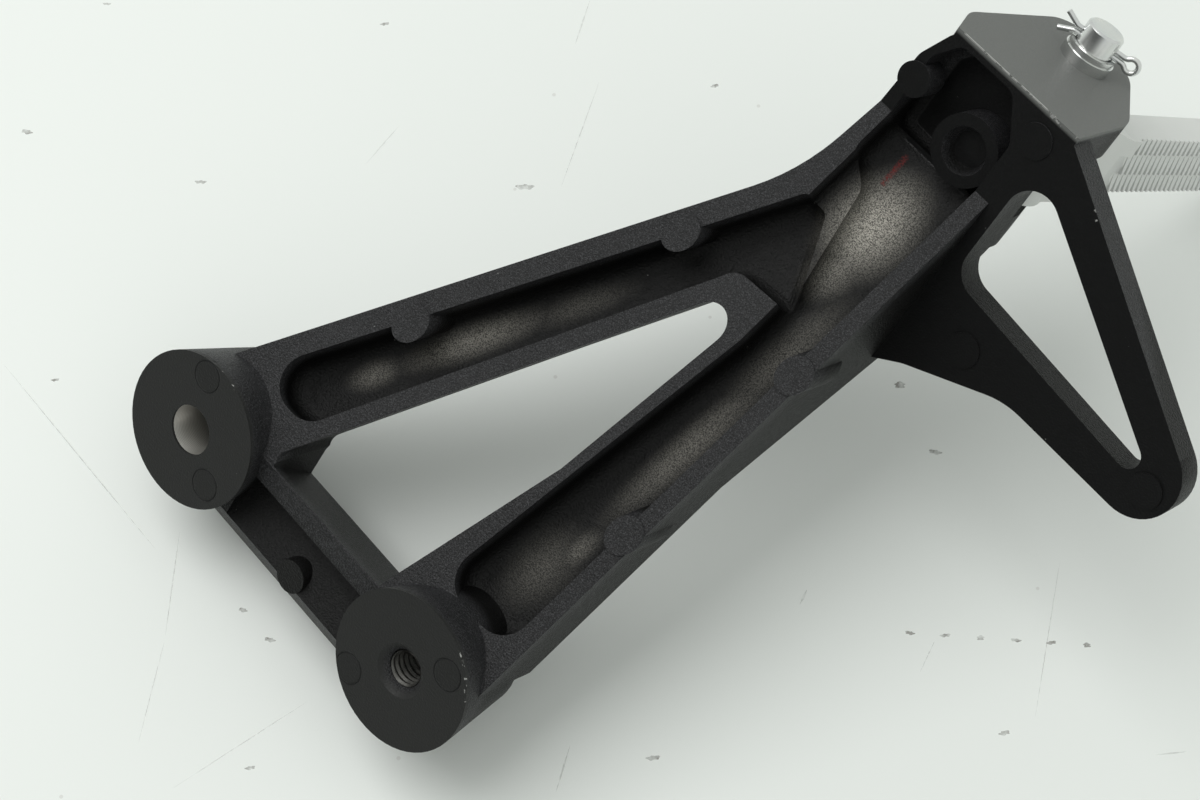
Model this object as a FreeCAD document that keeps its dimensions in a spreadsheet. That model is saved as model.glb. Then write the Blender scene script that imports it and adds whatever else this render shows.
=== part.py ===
"""Left-hand passenger footpeg of a motorcycle: cast bracket with heel guard, folding peg and its pin.

Frame: origin at the centre of the lower bolt boss's mounting face, +X to the rear of the motorcycle,
+Y inboard (the way the bolt bosses face), +Z up. Millimetres.
"""
import FreeCAD, Part
import math
import os
import Sketcher

doc = FreeCAD.newDocument("passenger_footpeg")
sheet = doc.addObject("Spreadsheet::Sheet", "Sizes")

SIZES = {
    # bolt bosses
    "boss_pitch": (58, "lower boss to upper boss"),
    "boss_radius": (14.3, "mounting face radius"),
    "boss_taper": (3, "how much narrower a boss is at the back"),
    "bolt_bore": (9, "plain hole in the lower boss, diameter"),
    "thread_core": (6.8, "core of the M8 thread in the upper boss, diameter"),
    "thread_chamfer": (1.5, "chamfer at the mouth of the thread"),
    # side profile of the casting
    "rim_drop": (4, "rim below the mounting faces at the bosses"),
    "slope_start": (5, "rearward distance where the rim starts to slope outboard"),
    "slope_end": (105, "rearward distance where the slope ends"),
    "offset_drop": (66, "rim of the clevis and guard, outboard of the mounting faces"),
    "arm_depth": (14, "depth of the arms' walls at the bosses"),
    "deep_start": (44, "rearward distance where the arms deepen"),
    "deep_end": (70, "rearward distance where they reach the guard's outer face"),
    "channel_depth": (7.6, "depth of the channels, square to the sloping rim"),
    # arms seen from inboard
    "low_arm_x": (5.5, "a point of the lower arm's outer edge"),
    "low_arm_z": (-8.8, "the same point's height"),
    "low_arm_slope": (0.6213, "rise of the lower arm per millimetre to the rear"),
    "low_arm_end": (90, "rearward end of the lower arm's straight edge"),
    "top_arm_rise": (12.5, "top edge of the upper arm above the upper bolt"),
    "outer_wall": (4.6, "outer wall of the lower arm, measured upright"),
    "top_wall": (3.1, "outer wall of the upper arm"),
    "inner_rib": (3.7, "rib between lower channel and window, measured upright"),
    "top_rib": (2.6, "rib between upper channel and window, measured upright"),
    "window_front": (0.3, "front of the window, behind the start of the slope"),
    "window_low": (13.5, "lower front corner of the window"),
    "window_slope": (0.565, "rise of the window's lower edge"),
    "window_high": (13.6, "upper front corner of the window below the upper bolt"),
    "window_bend_x": (36, "bend in the window's upper edge"),
    "window_bend_z": (52, "the bend's height"),
    "window_top_slope": (0.1, "rise of the window's upper edge past the bend"),
    "window_front_round": (1.8, "rounding of the window's lower front corner"),
    "nose_inset": (13, "rounded rear end of the window, ahead of where its edges would meet"),
    "window_nose_round": (3.5, "rounding of the window's rear corner"),
    "channel_start": (12.5, "front end of both channels"),
    "channel_end": (88.5, "rear end of the lower channel"),
    "channel_round": (3.0, "rounding along the channels' floors"),
    "channel_front_round": (5.5, "rounding of the channels' front corners"),
    "channel_end_round": (1.8, "rounding of the lower channel's rear corners"),
    "channel_bend": (10, "bend in the upper channel's rib"),
    "nose_rim": (5.6, "rim round the window's rear corner, along the arm"),
    "ridge_sink": (4.4, "top of the ridge between the channels below the rim"),
    "ridge_front": (77.5, "tip of the ridge between the channels"),
    "ridge_rise": (57.6, "height of that tip"),
    "ridge_rear": (94.5, "rear end of the ridge"),
    "ridge_rear_rise": (52.2, "height of that end"),
    "channel_corner": (3.3, "rounding of the channels' corners"),
    # cross bar between the bosses
    "bar_front": (10, "front rim of the cross bar ahead of the bolts"),
    "bar_flare": (6, "how far its outer wall flares"),
    "bar_flare_drop": (5, "height of the flare"),
    "bar_taper": (7, "how far the bar's inner side leans to the front"),
    "bar_wall": (3, "walls of the cross bar's pocket"),
    "bar_pocket_depth": (8, "depth of that pocket"),
    "bar_post_z": (29.5, "height of the ejector post in the pocket"),
    # clevis and pivot
    "rear_face": (124, "outer face of the rear ear"),
    "ear_thickness": (7, "thickness of each ear"),
    "clevis_gap": (18.5, "gap between the ears"),
    "throat_gap": (9.3, "pivot axis to the throat of the clevis"),
    "pin_drop": (91.8, "pivot axis, outboard of the mounting faces"),
    "pin_height": (61, "pivot axis above the lower bolt"),
    "pin_diameter": (7, "pivot pin"),
    "pin_clearance": (0.05, "radial clearance of the pivot pin"),
    "ear_reach": (11.2, "ear beyond the pivot axis"),
    "ear_low": (15.5, "root of the ear below the pivot axis"),
    "ear_low_tip": (10, "tip of the ear below the pivot axis"),
    "ear_top": (15, "ear above the pivot axis"),
    "ear_shoulder": (4.5, "where the ear's top starts to round, above the axis"),
    "ear_setback": (7, "where the rounding ends, inboard of the axis"),
    "ear_heel": (8, "length of the slanted corner where an ear leaves the rim"),
    "ear_heel_rise": (3, "height of that corner"),
    "ear_tip_round": (7, "rounding of the ear's lower outer corner"),
    "ear_top_round": (10, "rounding of the ear's upper corners"),
    "front_ear_drop": (5.5, "how much lower the front ear's top is"),
    "clevis_floor": (8, "depth of the pocket behind the clevis"),
    "sweep_round": (30, "sweep of the lower arm into the clevis"),
    "clevis_round": (4, "rounding of the clevis's lower corners"),
    "clevis_wall": (1.9, "walls of that pocket"),
    "pocket_corner": (2.6, "rounding of the pocket's corners"),
    "pocket_round": (2, "rounding along the pocket's floor"),
    "ring_radius": (6.3, "ring boss behind the detent bore"),
    "ring_sink": (2.2, "top of the ring boss below the rim"),
    "ring_recess": (2.6, "depth of the recess in the ring boss"),
    "ring_recess_radius": (4.2, "mouth of the recess in the ring boss"),
    # heel guard
    "guard_thickness": (6, "thickness of the heel guard"),
    "guard_front": (81, "front edge of the guard"),
    "guard_bend_z": (93.5, "height where the front edge bends to the arm"),
    "guard_root_x": (72.5, "front of the guard's root"),
    "guard_root_z": (75.5, "height of the guard's root"),
    "guard_apex": (146.5, "height where the guard's edges would meet"),
    "guard_tip_round": (7.8, "rounding of the guard's tip"),
    "guard_root_round": (12, "rounding where the guard leaves the arm"),
    "guard_bend_round": (16, "rounding of the bend in the front edge"),
    "guard_window_low": (73, "lower edge of the guard's window"),
    "guard_window_front": (91, "lower front corner of the guard's window"),
    "guard_window_rear": (116.5, "lower rear corner of the guard's window"),
    "guard_window_apex_x": (86.7, "apex of the guard's window"),
    "guard_window_drop": (21.5, "that apex below the meeting of the guard's edges"),
    "guard_window_tip": (2.3, "rounding at the apex"),
    "guard_window_round": (5, "rounding of the lower corners"),
    # ejector marks
    "mark_radius": (3.1, "ejector marks on the rims"),
    "mark_height": (0.3, "how far the marks stand proud"),
    # detent
    "ball_radius": (2.5, "detent ball"),
    "ball_reach": (1.2, "how far the ball stands out of the throat"),
    "ball_clearance": (0.1, "radial clearance of the ball in its bore"),
    "detent_depth": (9.5, "depth of the detent bore"),
    "spring_wire": (0.7, "wire of the detent spring, diameter"),
    "spring_turns": (4, "turns of the detent spring"),
    "spring_travel": (0.9, "free travel between spring and ball"),
    # peg
    "peg_rise": (12, "upward tilt of the peg, degrees"),
    "peg_length": (78, "pivot axis to the peg's tip"),
    "knuckle_gap": (0.6, "gap between the peg's knuckle and the throat"),
    "knuckle_play": (0.2, "side play of the knuckle in the clevis"),
    "heel_gap": (0.3, "gap between the peg's stop and the throat"),
    "heel_top": (3.8, "top of the stop below the pivot axis"),
    "track_clearance": (0.3, "gap between the ball and its track"),
    "tread_width": (12, "width of the tread"),
    "tread_tip_width": (10.5, "width of the tread at the tip"),
    "tread_top": (8.4, "tips of the teeth above the pivot axis"),
    "tread_height": (7.4, "height of the tread bar"),
    "neck_end": (17, "distance from the pivot where the neck ends"),
    "neck_width": (16.5, "width of the neck at the knuckle"),
    "tread_tip_round": (4, "rounding of the tread's tip"),
    "tooth_pitch": (1.5, "pitch of the teeth"),
    "tooth_depth": (1.1, "depth of the notches at the high side of a row"),
    "notch_width": (0.95, "width of a notch at the teeth's tips"),
    "tooth_start": (19.5, "first notch from the pivot axis"),
    "tooth_count": (36, "number of notches"),
    "row_edge": (0.35, "width of the step between the rows of teeth"),
    "row_rear": (2.5, "rear edge of the middle row, from the peg's middle"),
    "row_front": (-2.1, "front edge of the middle row, from the peg's middle"),
    "scallop_radius": (2.4, "cutter of the scallop ahead of the first tooth"),
    "scallop_depth": (1.3, "depth of the scallop"),
    # pin, washers and split pin
    "pin_head_radius": (5.4, "head of the pin"),
    "pin_head_height": (2.4, "height of the head"),
    "pin_chamfer": (0.35, "chamfer of the pin's end"),
    "pin_tail": (2.9, "pin beyond the split pin's axis"),
    "spacer_thickness": (1.9, "thick washer on the ear"),
    "spacer_radius": (4.7, "outer radius of the thick washer"),
    "washer_thickness": (1.1, "thin washer under the split pin"),
    "washer_radius": (4.4, "outer radius of the thin washer"),
    "washer_play": (0.15, "radial play of both washers on the pin"),
    "split_wire": (0.5, "radius of the split pin's wire"),
    "split_gap": (0.06, "gap between its two legs"),
    "split_play": (0.1, "play of the split pin in its hole and against the washer"),
    "split_tilt": (20, "tilt of the split pin from upright, degrees"),
    "split_eye": (1.25, "radius of the eye's middle line"),
    "split_neck": (1.6, "straight wire between pin and eye"),
    "split_leg": (2.6, "bent length of the legs"),
    "split_spread": (25, "bend of the legs, degrees"),
}

for row, (alias, (number, note)) in enumerate(SIZES.items(), start=1):
    sheet.set(f"A{row}", alias)
    sheet.set(f"B{row}", str(number))
    sheet.set(f"C{row}", note)
    sheet.setAlias(f"B{row}", alias)
doc.recompute()


class Size:
    """A dimension that carries its number and the formula that binds it to the sheet."""

    def __init__(self, number, formula):
        self.number = float(number)
        self.formula = formula

    @staticmethod
    def of(other):
        return other if isinstance(other, Size) else Size(other, repr(other))

    def _joined(self, sign, left, right, number):
        return Size(number, f"({left.formula} {sign} {right.formula})")

    def __add__(self, other):
        other = Size.of(other)
        return self._joined("+", self, other, self.number + other.number)

    def __sub__(self, other):
        other = Size.of(other)
        return self._joined("-", self, other, self.number - other.number)

    def __mul__(self, other):
        other = Size.of(other)
        return self._joined("*", self, other, self.number * other.number)

    def __truediv__(self, other):
        other = Size.of(other)
        return self._joined("/", self, other, self.number / other.number)

    def __radd__(self, other):
        return Size.of(other) + self

    def __rsub__(self, other):
        return Size.of(other) - self

    def __rmul__(self, other):
        return Size.of(other) * self

    def __neg__(self):
        return Size(-self.number, f"(-1 * {self.formula})")


def size(alias):
    return Size(sheet.get(alias), f"Sizes.{alias}")


def cosine(angle):
    return Size(math.cos(math.radians(angle.number)), f"cos({angle.formula} * 1 deg)")


def sine(angle):
    return Size(math.sin(math.radians(angle.number)), f"sin({angle.formula} * 1 deg)")


def root(value):
    return Size(math.sqrt(value.number), f"sqrt({value.formula})")


# Sketch planes: the side a part is looked at from, with the way it is pulled.
PLAN = FreeCAD.Rotation(FreeCAD.Vector(1, 0, 0), 90)      # X and Z, pulled outboard (-Y)
SIDE = FreeCAD.Rotation()                                 # X and Y, pulled up (+Z)
END = FreeCAD.Rotation(FreeCAD.Vector(1, 1, 1), 120)      # Y and Z, pulled to the rear (+X)


def bind(obj, prop, value):
    value = Size.of(value)
    obj.setExpression(prop, value.formula)


def outline(name, plane, corners, frame=None):
    """A closed sketch through the corners, each held from the sketch's origin by the sheet."""
    sketch = doc.addObject("Sketcher::SketchObject", name)
    placement = FreeCAD.Placement(FreeCAD.Vector(), plane)
    sketch.Placement = frame.multiply(placement) if frame else placement
    corners = [(Size.of(a), Size.of(b)) for a, b in corners]
    points = [FreeCAD.Vector(a.number, b.number, 0) for a, b in corners]
    count = len(points)
    for i in range(count):
        sketch.addGeometry(Part.LineSegment(points[i], points[(i + 1) % count]), False)
    closed = [Sketcher.Constraint("Coincident", i, 2, (i + 1) % count, 1) for i in range(count)]
    held = []
    for i, pair in enumerate(corners):
        for way, value in zip(("DistanceX", "DistanceY"), pair):
            held.append((Sketcher.Constraint(way, -1, 1, i, 1, value.number), value.formula))
    sketch.addConstraint(closed + [constraint for constraint, _ in held])
    for row, (_, formula) in enumerate(held, start=count):
        sketch.setExpression(f"Constraints[{row}]", formula)
    return sketch


def prism(name, sketch, near, far):
    """The sketch pulled along its normal from near to far."""
    solid = doc.addObject("Part::Extrusion", name)
    solid.Base = sketch
    solid.DirMode = "Normal"
    solid.Solid = True
    bind(solid, "LengthFwd", far)
    bind(solid, "LengthRev", -Size.of(near))
    return solid


def cylinder(name, radius, start, length, axis, tip_radius=None):
    """A cylinder, or a cone if tip_radius is given, from the point start along one of the axes."""
    solid = doc.addObject("Part::Cone" if tip_radius else "Part::Cylinder", name)
    if tip_radius:
        bind(solid, "Radius1", radius)
        bind(solid, "Radius2", tip_radius)
    else:
        bind(solid, "Radius", radius)
    bind(solid, "Height", length)
    turned = FreeCAD.Rotation(FreeCAD.Vector(0, 0, 1), FreeCAD.Vector(*axis))
    solid.Placement = FreeCAD.Placement(FreeCAD.Vector(), turned)
    for letter, value in zip("xyz", start):
        bind(solid, f"Placement.Base.{letter}", value)
    return solid


def join(name, parts):
    fused = doc.addObject("Part::MultiFuse", name)
    fused.Shapes = parts
    fused.Refine = True
    return fused


def cut(name, base, tools):
    """The base with one tool after the other taken away."""
    result = base
    for i, tool in enumerate(tools, start=1):
        step = doc.addObject("Part::Cut", name if i == len(tools) else f"{name}_{i}")
        step.Base = result
        step.Tool = tool
        step.Refine = i == len(tools)
        result = step
    return result


def shared(name, first, second):
    result = doc.addObject("Part::Common", name)
    result.Base = first
    result.Tool = second
    return result


def rounded(name, base, radius, wanted):
    """Fillet with one radius on every edge of base that the function wanted picks."""
    doc.recompute()
    edges = [i for i, edge in enumerate(base.Shape.Edges, start=1) if wanted(edge)]
    fillet = doc.addObject("Part::Fillet", name)
    fillet.Base = base
    fillet.Edges = [(i, radius.number, radius.number) for i in edges]
    return fillet


def stands_at(axis, spots):
    """Picks the straight edges along an axis that pass through one of the spots in the other two axes."""
    others = [i for i in range(3) if i != axis]

    def wanted(edge):
        first, last = edge.Vertexes[0].Point, edge.Vertexes[-1].Point
        if any(abs(first[i] - last[i]) > 1e-4 for i in others):
            return False
        return any(all(abs(first[i] - spot[k].number) < 1e-3 for k, i in enumerate(others)) for spot in spots)
    return wanted


X_AXIS, Y_AXIS, Z_AXIS = 0, 1, 2
OUTBOARD = (0, -1, 0)
INBOARD = (0, 1, 0)
REARWARD = (1, 0, 0)
MARGIN = 5      # how far a cutter reaches past the stock

boss_pitch = size("boss_pitch")
rim_drop = size("rim_drop")
slope_start = size("slope_start")
slope_end = size("slope_end")
offset_drop = size("offset_drop")
rear_face = size("rear_face")
pin_drop = size("pin_drop")
pin_height = size("pin_height")
throat_drop = pin_drop - size("throat_gap")
back_drop = rim_drop + size("arm_depth")
guard_back = offset_drop + size("guard_thickness")
rear_inner = rear_face - size("ear_thickness")
front_inner = rear_inner - size("clevis_gap")
front_face = front_inner - size("ear_thickness")
clevis_middle = (rear_inner + front_inner) / 2
rim_slope = (offset_drop - rim_drop) / (slope_end - slope_start)
top_edge = boss_pitch + size("top_arm_rise")
clevis_low = pin_height - size("ear_low")


def rim_at(x):
    """Outboard distance of the sloping rim at a rearward distance x."""
    return rim_drop + rim_slope * (x - slope_start)


def low_edge(x):
    """Height of the lower arm's outer edge at a rearward distance x."""
    return size("low_arm_z") + size("low_arm_slope") * (x - size("low_arm_x"))


slope_stretch = root(1 + rim_slope * rim_slope)
slope_frame = FreeCAD.Placement(
    FreeCAD.Vector(slope_start.number, -rim_drop.number, 0),
    FreeCAD.Rotation(FreeCAD.Vector(0, 0, 1), -math.degrees(math.atan(rim_slope.number))))


def on_slope(corners):
    """Corners given by rearward distance and height, laid out on the sloping rim."""
    return [((Size.of(x) - slope_start) * slope_stretch, z) for x, z in corners]


def leaning_at(spots):
    """Picks the edges square to the sloping rim that pass through one of the spots laid out on it."""
    def wanted(edge):
        ends = [slope_frame.inverse().multVec(v.Point) for v in (edge.Vertexes[0], edge.Vertexes[-1])]
        if abs(ends[0].x - ends[1].x) + abs(ends[0].z - ends[1].z) > 1e-4:
            return False
        return any(abs(ends[0].x - s.number) + abs(ends[0].z - z.number) < 1e-3 for s, z in spots)
    return wanted


# Arms and cross bar: the outline seen from inboard, thinned to the sloping side profile.
frame_corners = [
    (size("low_arm_x"), size("low_arm_z")),
    (size("low_arm_end"), low_edge(size("low_arm_end"))),
    (rear_face - 8, clevis_low),
    (rear_face, clevis_low + 3.5),
    (rear_face, top_edge),
    (size("low_arm_x"), top_edge),
    (-size("bar_front"), boss_pitch),
    (-size("bar_front"), 1)]
frame_side = outline("frame_side", SIDE, [
    (-30, -rim_drop),
    (slope_start, -rim_drop),
    (slope_end, -offset_drop),
    (rear_face + MARGIN, -offset_drop),
    (rear_face + MARGIN, -throat_drop),
    (front_face, -throat_drop),
    (size("deep_end"), -guard_back),
    (size("deep_start"), -(rim_at(size("deep_start")) + size("arm_depth"))),
    (slope_start, -back_drop),
    (-30, -back_drop)])
frame_slab = prism("frame_slab", frame_side, -40, 160)
frame_cast = prism("frame_cast", outline("frame_plan", PLAN, frame_corners), -MARGIN, throat_drop + MARGIN)
frame_swept = rounded("frame_swept", frame_cast, size("sweep_round"), stands_at(Y_AXIS, frame_corners[1:2]))
frame_block = rounded("frame_block", frame_swept, size("clevis_round"), stands_at(Y_AXIS, frame_corners[2:4]))
arms = shared("arms", frame_block, frame_slab)

bar_side = outline("bar_side", SIDE, [
    (slope_start, -rim_drop),
    (slope_start, -back_drop),
    (-(size("bar_front") + size("bar_flare")), -back_drop),
    (-(size("bar_front") + size("bar_flare")), -(rim_drop + size("bar_flare_drop"))),
    (-size("bar_front"), -rim_drop)])
cross_bar = prism("cross_bar", bar_side, 0, boss_pitch)

# Ears of the clevis, with a rounded top and a lower edge that rises with the peg.
ear_end = -(pin_drop + size("ear_reach"))
ears = []
for name, near, ear_top in (("rear_ear", rear_inner, size("ear_top")),
                            ("front_ear", front_face, size("ear_top") - size("front_ear_drop"))):
    ear_corners = [
        (-offset_drop, clevis_low + size("ear_heel_rise")),
        (-(offset_drop + size("ear_heel")), clevis_low),
        (ear_end, pin_height - size("ear_low_tip")),
        (ear_end, pin_height + size("ear_shoulder")),
        (-(pin_drop - size("ear_setback")), pin_height + ear_top),
        (-offset_drop, pin_height + ear_top)]
    ear_outline = outline(name + "_outline", END, ear_corners)
    plate = prism(name + "_plate", ear_outline, near, near + size("ear_thickness"))
    tip = rounded(name + "_tip", plate, size("ear_tip_round"), stands_at(X_AXIS, ear_corners[1:3]))
    ears.append(rounded(name, tip, size("ear_top_round"), stands_at(X_AXIS, ear_corners[3:5])))

# Heel guard: a flat plate in the plane of the clevis rim, with its own window.
guard_corners = [
    (size("guard_root_x") - 6, top_edge - 4),
    (size("guard_root_x"), size("guard_root_z")),
    (size("guard_front"), size("guard_bend_z")),
    (size("guard_front"), size("guard_apex")),
    (rear_face, top_edge + 3),
    (rear_face, top_edge - 4)]
guard_plate = prism("guard_plate", outline("guard_plan", PLAN, guard_corners), offset_drop, guard_back)
guard_bent = rounded("guard_bent", guard_plate, size("guard_bend_round"),
                     stands_at(Y_AXIS, guard_corners[2:3]))
guard_rooted = rounded("guard_rooted", guard_bent, size("guard_root_round"),
                       stands_at(Y_AXIS, guard_corners[1:2]))
guard = rounded("guard", guard_rooted, size("guard_tip_round"), stands_at(Y_AXIS, guard_corners[3:4]))

stock = join("stock", [arms, cross_bar, guard] + ears)

# Windows through the arms and through the guard.
bend_x, bend_z = size("window_bend_x"), size("window_bend_z")
window_low, window_slope = size("window_low"), size("window_slope")
top_slope = size("window_top_slope")
nose_x = (bend_z - top_slope * bend_x - window_low + window_slope * slope_start) / (window_slope - top_slope)
window_front = slope_start + size("window_front")
window_corners = [
    (window_front, window_low),
    (nose_x, window_low + window_slope * (nose_x - slope_start)),
    (bend_x, bend_z),
    (window_front, boss_pitch - size("window_high"))]
window_block = prism("window_block", outline("window_plan", PLAN, window_corners), -MARGIN, throat_drop)
window_nose = rounded("window_nose", window_block, size("window_nose_round"),
                      stands_at(Y_AXIS, window_corners[1:2]))
window = rounded("window", window_nose, size("window_front_round"), stands_at(Y_AXIS, window_corners[0:1]))
bar_lean = outline("bar_lean", SIDE, [
    (window_front + 1, -rim_drop),
    (window_front, -rim_drop),
    (window_front - size("bar_taper"), -back_drop - 1),
    (window_front + 1, -back_drop - 1)])
bar_side_cut = prism("bar_side_cut", bar_lean, window_low + size("window_front_round"),
                     boss_pitch - size("window_high"))

guard_window_corners = [
    (size("guard_window_front"), size("guard_window_low")),
    (size("guard_window_apex_x"), size("guard_apex") - size("guard_window_drop")),
    (size("guard_window_rear"), size("guard_window_low"))]
guard_window_block = prism("guard_window_block", outline("guard_window_plan", PLAN, guard_window_corners),
                           offset_drop - MARGIN, guard_back + 2)
guard_window_tip = rounded("guard_window_tip", guard_window_block, size("guard_window_tip"),
                           stands_at(Y_AXIS, guard_window_corners[1:2]))
guard_window = rounded("guard_window", guard_window_tip, size("guard_window_round"),
                       stands_at(Y_AXIS, guard_window_corners[0::2]))

# Channels in the arms, cored from inboard with round floors.
channel_start, channel_end = size("channel_start"), size("channel_end")
rib_start = window_low + window_slope * (channel_start - slope_start) - size("inner_rib")
rib_turn_x = bend_x * 2 - slope_start
rib_end_x = nose_x - size("nose_inset") + size("nose_rim")
rib_end_z = window_low + window_slope * (rib_end_x - slope_start) - size("inner_rib")
top_inner = top_edge - size("top_wall")
front, end, corner = size("channel_front_round"), size("channel_end_round"), size("channel_corner")
low_channel_corners = [
    (channel_start, low_edge(channel_start) + size("outer_wall"), front),
    (channel_end, low_edge(channel_end) + size("outer_wall"), end),
    (channel_end, low_edge(channel_end) + size("outer_wall") + 2 * end, end),
    (rib_end_x + 0.7, size("ridge_rise") + 2.4, None),
    (rib_end_x, rib_end_z, corner),
    (channel_start, rib_start, front)]
clevis_edge = clevis_low + size("clevis_wall")
top_channel_corners = [
    (channel_start, boss_pitch - size("window_high") + size("top_rib") + 4, front),
    (rib_turn_x, bend_z + top_slope * (rib_turn_x - bend_x) + size("top_rib"), size("channel_bend")),
    (size("ridge_front"), size("ridge_rise"), corner),
    (size("ridge_rear"), size("ridge_rear_rise"), corner),
    (size("ridge_rear") + 3, clevis_edge, corner),
    (clevis_middle - 2, clevis_edge, corner),
    (clevis_middle - 2, top_inner, corner),
    (channel_start, top_inner, front)]


def channel(name, corners, depth):
    """A cutter square to the sloping rim, each corner with its own rounding, and a round floor at the depth."""
    spots = on_slope([(x, z) for x, z, _ in corners])
    solid = prism(name + "_block", outline(name + "_plan", PLAN, spots, slope_frame), -3 * MARGIN, depth)
    for i, (spot, (_, _, radius)) in enumerate(zip(spots, corners)):
        if radius:
            solid = rounded(f"{name}_corner_{i}", solid, radius, leaning_at([spot]))

    def on_floor(edge):
        ends = [slope_frame.inverse().multVec(v.Point) for v in (edge.Vertexes[0], edge.Vertexes[-1])]
        return all(abs(end.y + depth.number) < 1e-3 for end in ends)

    return rounded(name, solid, size("channel_round"), on_floor)


low_channel = channel("low_channel", low_channel_corners, size("channel_depth"))
top_channel = channel("top_channel", top_channel_corners, size("channel_depth"))
clevis_floor_drop = offset_drop + size("clevis_floor")

clevis_pocket_corners = [
    (clevis_middle - 6.5, clevis_low + size("clevis_wall")),
    (rear_face - 7, clevis_low + size("clevis_wall")),
    (rear_face - size("clevis_wall"), clevis_low + size("clevis_wall") + 3.5),
    (rear_face - size("clevis_wall"), pin_height + 1.5),
    (rear_face - 9, top_inner),
    (clevis_middle - 6.5, top_inner)]
clevis_pocket_block = prism("clevis_pocket_block", outline("clevis_pocket_plan", PLAN, clevis_pocket_corners),
                            0, clevis_floor_drop)
clevis_pocket_soft = rounded("clevis_pocket_soft", clevis_pocket_block, size("pocket_corner"),
                             stands_at(Y_AXIS, clevis_pocket_corners))


def on_pocket_floor(edge):
    return all(abs(v.Point.y + clevis_floor_drop.number) < 1e-3 for v in edge.Vertexes)


clevis_pocket = rounded("clevis_pocket", clevis_pocket_soft, size("pocket_round"), on_pocket_floor)

ridge_corners = on_slope([
    (rib_end_x + 1.5, rib_end_z + 4),
    (channel_end - 1, low_edge(channel_end) + size("outer_wall") + 0.4),
    (size("ridge_rear") + 3, clevis_edge + 0.4),
    (size("ridge_rear") + 3, top_inner - 6),
    (rib_end_x + 1.5, top_inner - 6)])
ridge_space = prism("ridge_space", outline("ridge_plan", PLAN, ridge_corners, slope_frame),
                    -3 * MARGIN, size("ridge_sink"))

bar_pocket_corners = on_slope([
    (slope_start - size("bar_wall"), size("boss_radius") - 2),
    (slope_start - size("bar_wall"), boss_pitch - size("boss_radius") + 2),
    (size("bar_wall") - size("bar_front"), boss_pitch - size("boss_radius") + 2),
    (size("bar_wall") - size("bar_front"), size("boss_radius") - 2)])
bar_pocket = prism("bar_pocket", outline("bar_pocket_plan", PLAN, bar_pocket_corners, slope_frame),
                   -2 * MARGIN, size("bar_pocket_depth"))

gap_plan = outline("gap_plan", PLAN, [
    (front_inner, clevis_low - MARGIN),
    (rear_inner, clevis_low - MARGIN),
    (rear_inner, pin_height + size("ear_top") + MARGIN),
    (front_inner, pin_height + size("ear_top") + MARGIN)])
gap = prism("gap", gap_plan, throat_drop, pin_drop + size("ear_reach") + MARGIN)

cored = cut("cored", stock, [
    window, bar_side_cut, guard_window, low_channel, top_channel, ridge_space,
    clevis_pocket, bar_pocket, gap])

# Bolt bosses with their draft, the ring behind the detent and the posts.
boss_root = size("boss_radius") - size("boss_taper")
bosses = [cylinder(name, boss_root, (0, -back_drop, height), back_drop, INBOARD, size("boss_radius"))
          for name, height in (("low_boss", 0), ("top_boss", boss_pitch))]
ring_top = offset_drop + size("ring_sink")
ring = cylinder("ring", size("ring_radius"), (clevis_middle, -throat_drop, pin_height),
                throat_drop - ring_top, INBOARD)
bar_post = cylinder("bar_post", size("mark_radius"),
                    (-size("bar_front") + 1.5, -back_drop, size("bar_post_z")),
                    back_drop - rim_drop, INBOARD)

# Ejector marks: small discs that stand a little proud of the rims, the arms' ones cut along the slope.
guard_run = rear_face - size("guard_front")
guard_rise = size("guard_apex") - top_edge - 3
guard_edge = root(guard_run * guard_run + guard_rise * guard_rise)
tip_x = size("guard_front") + size("guard_tip_round")
tip_z = size("guard_apex") - size("guard_tip_round") * (guard_edge + guard_rise) / guard_run
ARM_MARKS = {
    "low_arm_front_mark": (34.4, low_edge(34.4) + 5.2),
    "low_arm_rear_mark": (71.8, low_edge(71.8) + 4.4),
    "top_arm_front_mark": (36.2, top_edge - 2.5),
    "top_arm_rear_mark": (69, top_edge - 1.9),
}
FLAT_MARKS = {
    "guard_tip_mark": (tip_x - 1.4, tip_z + 2.9),
    "guard_root_mark": (size("guard_root_x") + 10, size("guard_root_z") + 7),
    "clevis_top_mark": (rear_face - 5.4, top_edge - 0.1),
    "clevis_low_mark": (rear_face - 12, clevis_low + size("clevis_wall")),
}
flat_marks = [cylinder(name, size("mark_radius"), (x, 1 - guard_back, z),
                       size("guard_thickness") + size("mark_height") - 1, INBOARD)
              for name, (x, z) in FLAT_MARKS.items()]
arm_posts = [cylinder(name, size("mark_radius"), (x, -guard_back, z), guard_back, INBOARD)
             for name, (x, z) in ARM_MARKS.items()]
mark_depth = size("channel_depth") + 1
raised_side = outline("raised_side", SIDE, [
    (slope_start, size("mark_height") - rim_drop),
    (slope_end, size("mark_height") - offset_drop),
    (slope_end, -offset_drop - mark_depth),
    (slope_start, -rim_drop - mark_depth)])
arm_marks = shared("arm_marks", join("arm_posts", arm_posts), prism("raised_slab", raised_side, -40, 160))

dressed = join("dressed", [cored, ring, bar_post, arm_marks] + flat_marks + bosses)

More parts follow.
